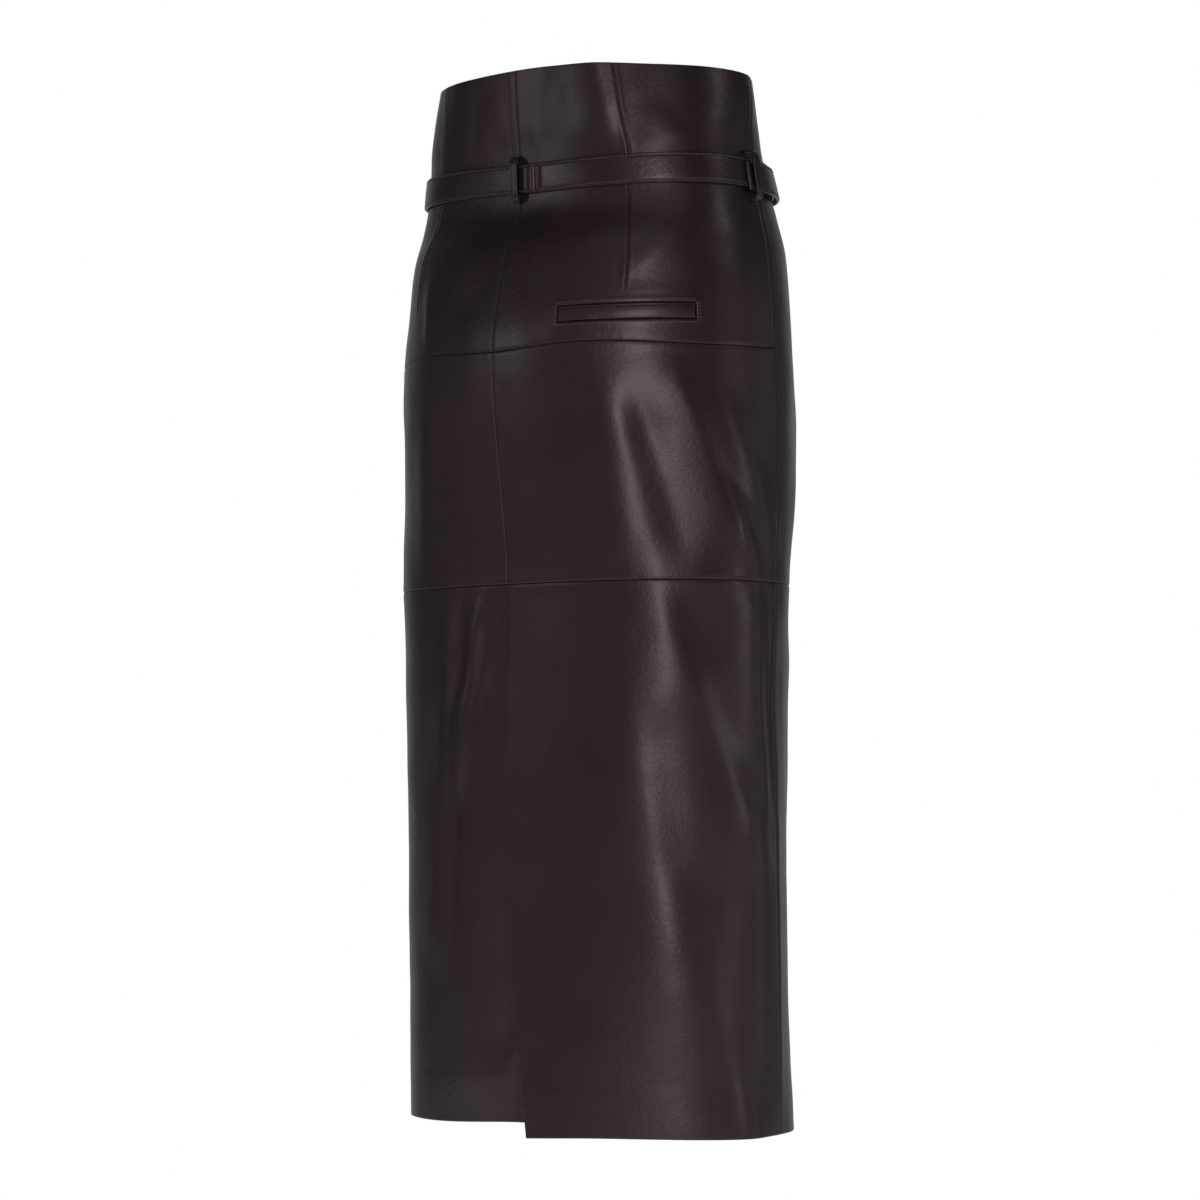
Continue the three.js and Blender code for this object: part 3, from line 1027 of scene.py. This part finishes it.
def leather_group():
    """Pebbled grain, soft creasing and slow changes of tone, for every smooth leather."""
    tree = bpy.data.node_groups.new("Leather Grain", "ShaderNodeTree")
    face = tree.interface
    for name, value in (("Pebble Size", 0.0011), ("Crease Size", 0.009), ("Drift Size", 0.09)):
        face.new_socket(name, in_out="INPUT", socket_type="NodeSocketFloat").default_value = value
    face.new_socket("Vector", in_out="INPUT", socket_type="NodeSocketVector")
    for name in ("Height", "Tone", "Shine"):
        face.new_socket(name, in_out="OUTPUT", socket_type="NodeSocketFloat")
    nodes = Nodes(tree)
    given = nodes.add("NodeGroupInput").outputs
    result = nodes.add("NodeGroupOutput")

    def scale_of(name):
        return nodes.add("ShaderNodeMath", {0: 1.0, 1: given[name]}, operation="DIVIDE").outputs[0]

    pebble = scale_of("Pebble Size")
    crease = scale_of("Crease Size")
    drift = scale_of("Drift Size")
    cells = nodes.add("ShaderNodeTexVoronoi", {"Vector": given["Vector"], "Scale": pebble, "Randomness": 1.0},
                      feature="SMOOTH_F1")
    uneven = nodes.add("ShaderNodeTexNoise", {"Vector": given["Vector"], "Scale": crease, "Detail": 4.0,
                                              "Roughness": 0.55, "Distortion": 0.4})
    slow = nodes.add("ShaderNodeTexNoise", {"Vector": given["Vector"], "Scale": drift, "Detail": 3.0,
                                            "Roughness": 0.5, "Distortion": 0.3})
    weak = nodes.add("ShaderNodeMath", {0: cells.outputs["Distance"], 1: -0.30}, operation="MULTIPLY")
    height = nodes.add("ShaderNodeMath", {0: uneven.outputs["Fac"], 1: weak.outputs[0]}, operation="ADD")
    tone = nodes.add("ShaderNodeMath", {0: slow.outputs["Fac"], 1: 0.75, 2: 0.125}, operation="MULTIPLY_ADD")
    fleck = nodes.add("ShaderNodeMath", {0: uneven.outputs["Fac"], 1: 0.25, 2: tone.outputs[0]},
                      operation="MULTIPLY_ADD")
    shine = nodes.add("ShaderNodeMapRange", {"Value": cells.outputs["Distance"], "From Min": 0.1,
                                             "From Max": 0.8})
    tree.links.new(height.outputs[0], result.inputs["Height"])
    tree.links.new(fleck.outputs[0], result.inputs["Tone"])
    tree.links.new(shine.outputs[0], result.inputs["Shine"])
    return tree


def new_material(name):
    material = bpy.data.materials.new(name)
    material.use_nodes = True
    nodes = Nodes(material.node_tree)
    shader = material.node_tree.nodes["Principled BSDF"]
    return material, nodes, shader


def smooth_leather(name, dark, light, roughness, bump_strength, pebble, crease):
    """Finished grain side: tone and gloss drift slowly, with a fine pebble and soft creasing."""
    material, nodes, shader = new_material(name)
    where = nodes.add("ShaderNodeTexCoord").outputs["Object"]
    grain = nodes.add("ShaderNodeGroup", node_tree=bpy.data.node_groups["Leather Grain"])
    grain.inputs["Pebble Size"].default_value = pebble
    grain.inputs["Crease Size"].default_value = crease
    material.node_tree.links.new(where, grain.inputs["Vector"])
    colour = nodes.add("ShaderNodeMix", {"Factor": grain.outputs["Tone"]}, data_type="RGBA")
    colour.inputs["A"].default_value = (*dark, 1)
    colour.inputs["B"].default_value = (*light, 1)
    rough = nodes.add("ShaderNodeMapRange", {"Value": grain.outputs["Tone"], "To Min": roughness - 0.05,
                                             "To Max": roughness + 0.06})
    rougher = nodes.add("ShaderNodeMath", {0: grain.outputs["Shine"], 1: 0.05, 2: rough.outputs[0]},
                        operation="MULTIPLY_ADD")
    bump_node = nodes.add("ShaderNodeBump", {"Strength": bump_strength, "Distance": 0.0006,
                                             "Height": grain.outputs["Height"]})
    links = material.node_tree.links
    links.new(colour.outputs["Result"], shader.inputs["Base Color"])
    links.new(rougher.outputs[0], shader.inputs["Roughness"])
    links.new(bump_node.outputs["Normal"], shader.inputs["Normal"])
    shader.inputs["Specular IOR Level"].default_value = 0.7
    shader.inputs["Specular Tint"].default_value = (1.0, 0.82, 0.92, 1.0)
    shader.inputs["Coat Weight"].default_value = 0.2
    shader.inputs["Coat Roughness"].default_value = 0.26
    return material


def napped_leather(name, dark, light):
    """The flesh side: matt, with a short uneven nap."""
    material, nodes, shader = new_material(name)
    where = nodes.add("ShaderNodeTexCoord").outputs["Object"]
    nap = nodes.add("ShaderNodeTexNoise", {"Vector": where, "Scale": 900.0, "Detail": 4.0, "Roughness": 0.7})
    patches = nodes.add("ShaderNodeTexNoise", {"Vector": where, "Scale": 30.0, "Detail": 3.0})
    mixed = nodes.add("ShaderNodeMath", {0: nap.outputs["Fac"], 1: 0.5, 2: patches.outputs["Fac"]},
                      operation="MULTIPLY_ADD")
    share = nodes.add("ShaderNodeMapRange", {"Value": mixed.outputs[0], "From Min": 0.4, "From Max": 1.1})
    colour = nodes.add("ShaderNodeMix", {"Factor": share.outputs[0]}, data_type="RGBA")
    colour.inputs["A"].default_value = (*dark, 1)
    colour.inputs["B"].default_value = (*light, 1)
    bump_node = nodes.add("ShaderNodeBump", {"Strength": 0.5, "Distance": 0.0004,
                                             "Height": nap.outputs["Fac"]})
    links = material.node_tree.links
    links.new(colour.outputs["Result"], shader.inputs["Base Color"])
    links.new(bump_node.outputs["Normal"], shader.inputs["Normal"])
    shader.inputs["Roughness"].default_value = 0.9
    shader.inputs["Specular IOR Level"].default_value = 0.25
    shader.inputs["Sheen Weight"].default_value = 0.3
    return material


def thread_material():
    material, nodes, shader = new_material("Thread")
    where = nodes.add("ShaderNodeTexCoord").outputs["Object"]
    strands = nodes.add("ShaderNodeTexNoise", {"Vector": where, "Scale": 2600.0, "Detail": 2.0})
    colour = nodes.add("ShaderNodeMix", {"Factor": strands.outputs["Fac"]}, data_type="RGBA")
    # The thread colour is lighter than the real thread, a painted highlight on the stitches; the strand noise
    # varies it at random.
    thread = finish_values().thread
    colour.inputs["A"].default_value = (*[c * 0.6 for c in thread], 1)
    colour.inputs["B"].default_value = (*[c * 1.4 for c in thread], 1)
    bump_node = nodes.add("ShaderNodeBump", {"Strength": 0.4, "Distance": 0.0002,
                                             "Height": strands.outputs["Fac"]})
    links = material.node_tree.links
    links.new(colour.outputs["Result"], shader.inputs["Base Color"])
    links.new(bump_node.outputs["Normal"], shader.inputs["Normal"])
    shader.inputs["Roughness"].default_value = 0.5
    return material


def floor_material():
    material, nodes, shader = new_material("Studio Floor")
    where = nodes.add("ShaderNodeTexCoord").outputs["Object"]
    cloud = nodes.add("ShaderNodeTexNoise", {"Vector": where, "Scale": 1.3, "Detail": 2.0})
    colour = nodes.add("ShaderNodeMix", {"Factor": cloud.outputs["Fac"]}, data_type="RGBA")
    colour.inputs["A"].default_value = (0.86, 0.86, 0.86, 1)
    colour.inputs["B"].default_value = (0.9, 0.9, 0.9, 1)
    material.node_tree.links.new(colour.outputs["Result"], shader.inputs["Base Color"])
    shader.inputs["Roughness"].default_value = 0.8
    shader.inputs["Specular IOR Level"].default_value = 0.2
    shader.inputs["Emission Color"].default_value = (1, 1, 1, 1)
    shader.inputs["Emission Strength"].default_value = 0.35
    return material


# Studio

CAMERA_TURN = math.radians(42)
CAMERA_DISTANCE = 3.4
CAMERA_HEIGHT = -0.524
CAMERA_PITCH = math.radians(2.929)
CAMERA_YAW = math.radians(0.1144)
FLOOR_HEIGHT = -1.1

# Soft boxes: angle from the centre back towards the wearer's right, elevation of the middle,
# distance, width, height and power
LIGHTS = {
    "key_box": (27, 7.5, 2.8, 0.55, 1.3, 14),
    "waist_box": (-34, 15, 2.8, 0.4, 0.5, 2.8),
    "crown_box": (106, 36, 2.8, 0.6, 0.4, 2.5),
    "left_fill": (-48, 5, 3.0, 2.2, 1.2, 0.8),
    "low_box": (75, -6.5, 2.8, 2.2, 0.40, 1.2),
    "side_box": (104, 2, 2.8, 0.6, 0.34, 3),
    "top_box": (20, 42, 3.0, 3.0, 0.9, 2.5),
    "right_box": (140, 0, 3.0, 1.2, 2.2, 2.6),
}


def studio_direction(angle, elevation):
    a = math.radians(angle)
    e = math.radians(elevation)
    return Vector((-math.sin(a) * math.cos(e), math.cos(a) * math.cos(e), math.sin(e)))


def make_camera():
    data = bpy.data.cameras.new("camera")
    camera = bpy.data.objects.new("camera", data)
    bpy.context.scene.collection.objects.link(camera)
    data.sensor_width = 36
    data.lens = 4007 / 1200 * 36
    data.clip_start = 0.1
    data.clip_end = 60
    turn = CAMERA_TURN
    camera.location = (-math.sin(turn) * CAMERA_DISTANCE, math.cos(turn) * CAMERA_DISTANCE, CAMERA_HEIGHT)
    heading = turn - CAMERA_YAW
    forward = Vector((math.sin(heading) * math.cos(CAMERA_PITCH),
                      -math.cos(heading) * math.cos(CAMERA_PITCH), math.sin(CAMERA_PITCH)))
    camera.rotation_mode = "QUATERNION"
    camera.rotation_quaternion = forward.to_track_quat("-Z", "Y")
    bpy.context.scene.camera = camera


def make_lights():
    target = Vector((0, 0, -0.35))
    for name, (angle, elevation, distance, width, height, power) in LIGHTS.items():
        data = bpy.data.lights.new(name, "AREA")
        data.shape = "RECTANGLE"
        data.size = width
        data.size_y = height
        data.energy = power
        light = bpy.data.objects.new(name, data)
        bpy.context.scene.collection.objects.link(light)
        direction = studio_direction(angle, elevation)
        light.location = target + direction * distance
        light.rotation_mode = "QUATERNION"
        light.rotation_quaternion = (-direction).to_track_quat("-Z", "Y")


def make_world():
    """White to the camera and bright behind the skirt, and dim on the camera's side."""
    world = bpy.data.worlds.new("studio")
    bpy.context.scene.world = world
    world.use_nodes = True
    tree = world.node_tree
    tree.nodes.clear()
    nodes = Nodes(tree)
    where = nodes.add("ShaderNodeTexCoord").outputs["Generated"]
    behind = (math.sin(CAMERA_TURN), -math.cos(CAMERA_TURN), 0)
    facing = nodes.add("ShaderNodeVectorMath", {0: where, 1: behind}, operation="DOT_PRODUCT")
    level = nodes.add("ShaderNodeMapRange", {"Value": facing.outputs["Value"], "From Min": 0.64,
                                             "From Max": 0.98,
                                             "To Min": 0.032, "To Max": 0.5}, interpolation_type="SMOOTHSTEP")
    room = nodes.add("ShaderNodeBackground", {"Color": (1, 1, 1, 1), "Strength": level.outputs[0]})
    seen = nodes.add("ShaderNodeBackground", {"Color": (1, 1, 1, 1), "Strength": 1.0})
    path = nodes.add("ShaderNodeLightPath")
    mixed = nodes.add("ShaderNodeMixShader", {0: path.outputs["Is Camera Ray"], 1: room.outputs[0],
                                              2: seen.outputs[0]})
    result = nodes.add("ShaderNodeOutputWorld")
    tree.links.new(mixed.outputs[0], result.inputs["Surface"])


def make_floor():
    bm = bmesh.new()
    bmesh.ops.create_circle(bm, cap_ends=True, segments=96, radius=2.3)
    bmesh.ops.translate(bm, verts=bm.verts[:], vec=(0, 0, FLOOR_HEIGHT))
    mesh = bpy.data.meshes.new("floor")
    bm.to_mesh(mesh)
    bm.free()
    floor = bpy.data.objects.new("floor", mesh)
    bpy.context.scene.collection.objects.link(floor)
    mesh.materials.append(floor_material())


# Properties, operators and panel


class SkirtSizes(bpy.types.PropertyGroup):
    """Sizes of the leather, its seams, the belt and the stitches"""

    wall: bpy.props.FloatProperty(
        name="Leather Wall", description="Thickness of the leather with its lining",
        default=0.002, min=0.001, max=0.003, unit="LENGTH")
    seam_gap: bpy.props.FloatProperty(
        name="Seam Gap", description="Space between two panels at a seam",
        default=0.00022, min=0.0001, max=0.0006, unit="LENGTH")
    cell: bpy.props.FloatProperty(
        name="Mesh Cell", description="Size of the mesh cells away from the seams",
        default=0.003, min=0.002, max=0.01, unit="LENGTH")
    belt_width: bpy.props.FloatProperty(
        name="Belt Width", description="Width of the belt's strap",
        default=0.025, min=0.02, max=0.03, unit="LENGTH")
    belt_thickness: bpy.props.FloatProperty(
        name="Belt Thickness", description="Thickness of the belt's strap",
        default=0.0026, min=0.002, max=0.003, unit="LENGTH")
    loop_width: bpy.props.FloatProperty(
        name="Loop Width", description="Width of the belt loops",
        default=0.008, min=0.006, max=0.01, unit="LENGTH")
    loop_thickness: bpy.props.FloatProperty(
        name="Loop Thickness", description="Thickness of the belt loops",
        default=0.0016, min=0.001, max=0.002, unit="LENGTH")
    stitch_pitch: bpy.props.FloatProperty(
        name="Stitch Pitch", description="Distance from one stitch to the next",
        default=0.0028, min=0.002, max=0.004, unit="LENGTH")


class SkirtFinish(bpy.types.PropertyGroup):
    """Colours and gloss of the leather and the thread"""

    leather_dark: bpy.props.FloatVectorProperty(
        name="Leather, Dark", description="Darker tone of the leather",
        subtype="COLOR", size=3, default=(0.018, 0.0084, 0.0102), min=0, max=1)
    leather_light: bpy.props.FloatVectorProperty(
        name="Leather, Light", description="Lighter tone of the leather",
        subtype="COLOR", size=3, default=(0.032, 0.0152, 0.0186), min=0, max=1)
    flesh: bpy.props.FloatVectorProperty(
        name="Flesh Side", description="Colour of the leather's inside",
        subtype="COLOR", size=3, default=(0.060, 0.026, 0.026), min=0, max=1)
    # The thread is the leather's burgundy in life; its colour is set much lighter, partly a painted highlight
    # so the stitches read as light dashes.
    thread: bpy.props.FloatVectorProperty(
        name="Thread", description="Colour of the stitches",
        subtype="COLOR", size=3, default=(0.19, 0.125, 0.135), min=0, max=1)
    roughness: bpy.props.FloatProperty(
        name="Roughness", description="How matt the leather is",
        default=0.37, min=0.1, max=0.9, subtype="FACTOR")


class SKIRT_OT_materials(bpy.types.Operator):
    """Make the leather, flesh side and thread materials"""

    bl_idname = "skirt.materials"
    bl_label = "Make Materials"

    def execute(self, context):
        values = finish_values()
        leather_group()
        smooth_leather("Burgundy Leather", values.leather_dark, values.leather_light, values.roughness,
                       0.5, 0.0012, 0.0048)
        smooth_leather("Belt Leather", values.leather_dark, values.leather_light, values.roughness - 0.06,
                       0.5, 0.0010, 0.004)
        napped_leather("Flesh Side", [c * 0.55 for c in values.flesh], values.flesh)
        napped_leather("Raw Edge", [c * 0.9 for c in values.flesh], [c * 1.8 for c in values.flesh])
        thread_material()
        return {"FINISHED"}


class SKIRT_OT_panels(bpy.types.Operator):
    """Make the eight leather panels with their folds, seams and darts"""

    bl_idname = "skirt.panels"
    bl_label = "Make Panels"

    def execute(self, context):
        for shape in panel_shapes():
            shape.make()
        return {"FINISHED"}


class SKIRT_OT_pocket(bpy.types.Operator):
    """Make the strip that fills the back pocket's window"""

    bl_idname = "skirt.pocket"
    bl_label = "Make Pocket"

    def execute(self, context):
        make_welt()
        return {"FINISHED"}


class SKIRT_OT_belt(bpy.types.Operator):
    """Make the belt's strap and its covered frame"""

    bl_idname = "skirt.belt"
    bl_label = "Make Belt"

    def execute(self, context):
        make_belt()
        make_buckle()
        return {"FINISHED"}


class SKIRT_OT_loops(bpy.types.Operator):
    """Make the three belt loops"""

    bl_idname = "skirt.loops"
    bl_label = "Make Belt Loops"

    def execute(self, context):
        for number in range(len(LOOP_NAMES)):
            make_loop(number)
        return {"FINISHED"}


class SKIRT_OT_stitching(bpy.types.Operator):
    """Sew the belt, the pocket, the side seams and the loops"""

    bl_idname = "skirt.stitching"
    bl_label = "Sew Stitches"

    def execute(self, context):
        make_stitching("belt_stitches", belt_rows() + loop_rows(), "belt_leather")
        make_stitching("panel_stitches", pocket_rows() + side_rows(), "leather")
        return {"FINISHED"}


class SKIRT_OT_stage(bpy.types.Operator):
    """Set up the camera, soft boxes, white studio and pale floor"""

    bl_idname = "skirt.stage"
    bl_label = "Set Up Studio"

    def execute(self, context):
        make_camera()
        make_lights()
        make_world()
        make_floor()
        context.scene.view_settings.view_transform = "Standard"
        context.scene.view_settings.look = "None"
        return {"FINISHED"}


class SKIRT_PT_sidebar(bpy.types.Panel):
    """Sizes, finish and steps of the skirt"""

    bl_idname = "SKIRT_PT_sidebar"
    bl_label = "Leather Skirt"
    bl_space_type = "VIEW_3D"
    bl_region_type = "UI"
    bl_category = "Skirt"

    def draw(self, context):
        column_layout = self.layout.column()
        for group in (context.scene.skirt_sizes, context.scene.skirt_finish):
            for name in group.bl_rna.properties.keys():
                if name not in ("rna_type", "name"):
                    column_layout.prop(group, name)
        for operator in OPERATORS:
            column_layout.operator(operator.bl_idname)


OPERATORS = (
    SKIRT_OT_stage,
    SKIRT_OT_materials,
    SKIRT_OT_panels,
    SKIRT_OT_pocket,
    SKIRT_OT_belt,
    SKIRT_OT_loops,
    SKIRT_OT_stitching,
)
CLASSES = (SkirtSizes, SkirtFinish, *OPERATORS, SKIRT_PT_sidebar)


def register():
    for cls in CLASSES:
        bpy.utils.register_class(cls)
    bpy.types.Scene.skirt_sizes = bpy.props.PointerProperty(type=SkirtSizes)
    bpy.types.Scene.skirt_finish = bpy.props.PointerProperty(type=SkirtFinish)


def unregister():
    del bpy.types.Scene.skirt_finish
    del bpy.types.Scene.skirt_sizes
    for cls in reversed(CLASSES):
        bpy.utils.unregister_class(cls)


def main():
    register()
    bpy.ops.skirt.stage()
    bpy.ops.skirt.materials()
    bpy.ops.skirt.panels()
    bpy.ops.skirt.pocket()
    bpy.ops.skirt.belt()
    bpy.ops.skirt.loops()
    bpy.ops.skirt.stitching()


if __name__ == "__main__":
    main()
